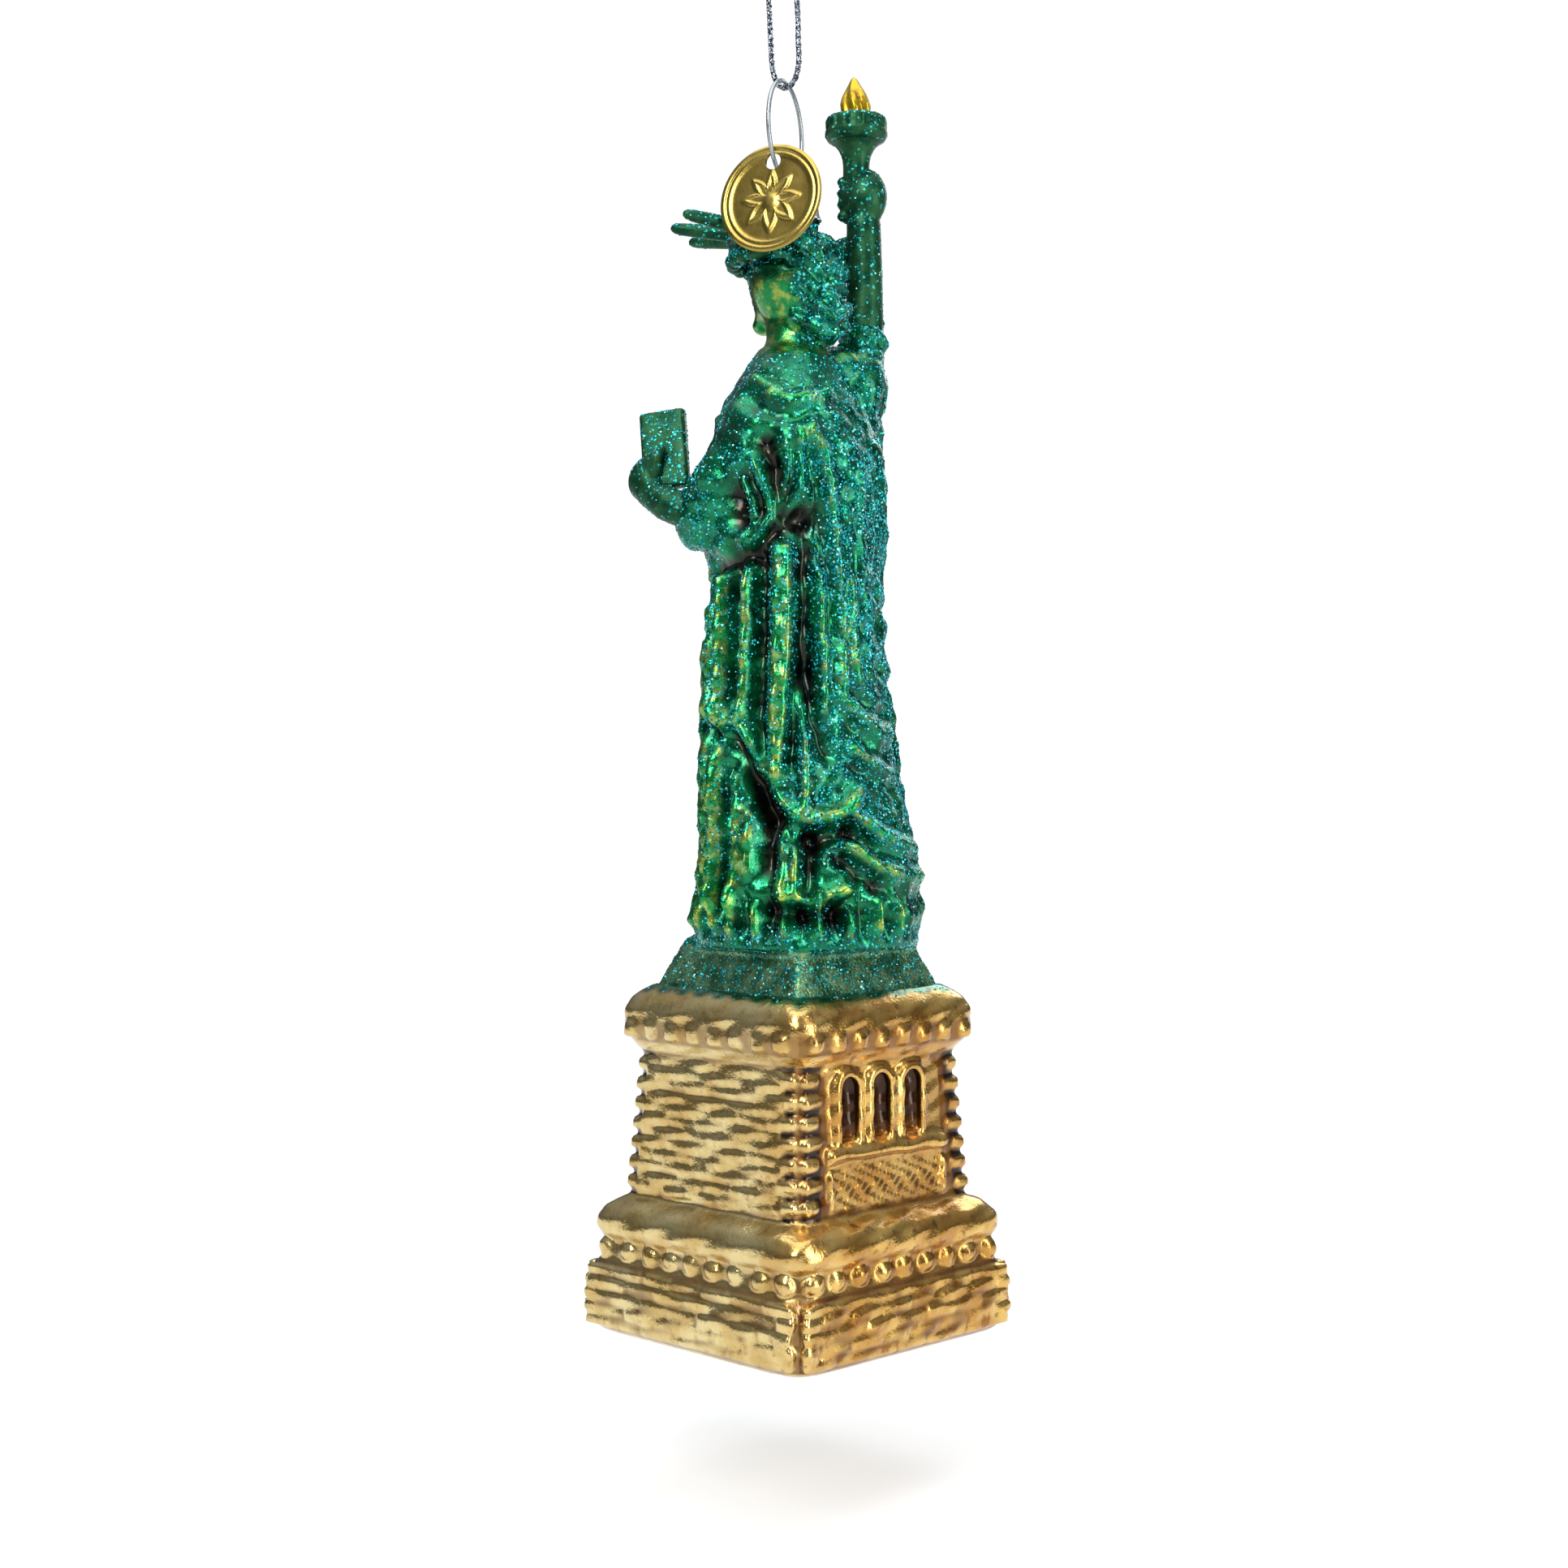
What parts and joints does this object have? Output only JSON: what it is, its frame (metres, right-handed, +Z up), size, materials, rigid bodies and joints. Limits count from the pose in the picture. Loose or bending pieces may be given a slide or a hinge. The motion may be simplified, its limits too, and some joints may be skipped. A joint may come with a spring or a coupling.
{
  "type": "hanging glass ornament",
  "caption": "Hanging glass ornament shaped as a robed figure with a rayed crown, a raised torch and a tablet on a brick pedestal, with a cap, a ring, a tag and a cord.",
  "frame": {"origin": "middle of the cord's knot, where the ornament hangs", "axes": "+Z up along the hanging cord, -Y the way the figure faces, +X the figure's left"},
  "size_m": [0.0442, 0.0442, 0.1975],
  "materials": {
    "metallic_cord": "silver metallic braid",
    "ring_steel": "satin wire",
    "tag_brass": "stamped and polished",
    "cap_metal": "drawn thin sheet",
    "green_glass": "silvered inside, green lacquer with teal glitter",
    "gold_glass": "silvered inside, gold lacquer with brown joints",
    "green_plastic": "satin paint with teal glitter",
    "amber_plastic": "clear amber lacquer"
  },
  "bodies": {
    "cord": {"cord": "metallic_cord", "cord_knot": "metallic_cord"},
    "ring": {"jump_ring": "ring_steel"},
    "tag": {"tag": "tag_brass"},
    "cap": {"cap": "cap_metal", "cap_wire": "ring_steel"},
    "ornament": {"figure_shell": "green_glass", "pedestal_shell": "gold_glass", "crown_band": "green_plastic", "crown_rays": "green_plastic", "torch_arm": "green_plastic", "torch_handle": "green_plastic", "torch_gallery": "green_plastic", "torch_flame": "amber_plastic", "tablet_arm": "green_plastic", "tablet": "green_plastic"}
  },
  "joints": [
    {"name": "ring_swing", "type": "hinge", "parent": "cord", "child": "ring", "pos_m": [0, 0, -0.0195], "axis": [-0.4226, 0.9063, 0], "range_deg": [-45, 45]},
    {"name": "hang_swing", "type": "hinge", "parent": "ring", "child": "cap", "pos_m": [0, 0, -0.03175], "axis": [-0.4226, 0.9063, 0], "range_deg": [0, 30]},
    {"name": "tag_swing", "type": "hinge", "parent": "ring", "child": "tag", "pos_m": [0.00424, 0.00198, -0.03062], "axis": [0.342, -0.9397, 0], "range_deg": [0, 40]},
    {"name": "cap_pull", "type": "slide", "parent": "cap", "child": "ornament", "axis": [0, 0, -1], "range_m": [0, 0.02]}
  ]
}
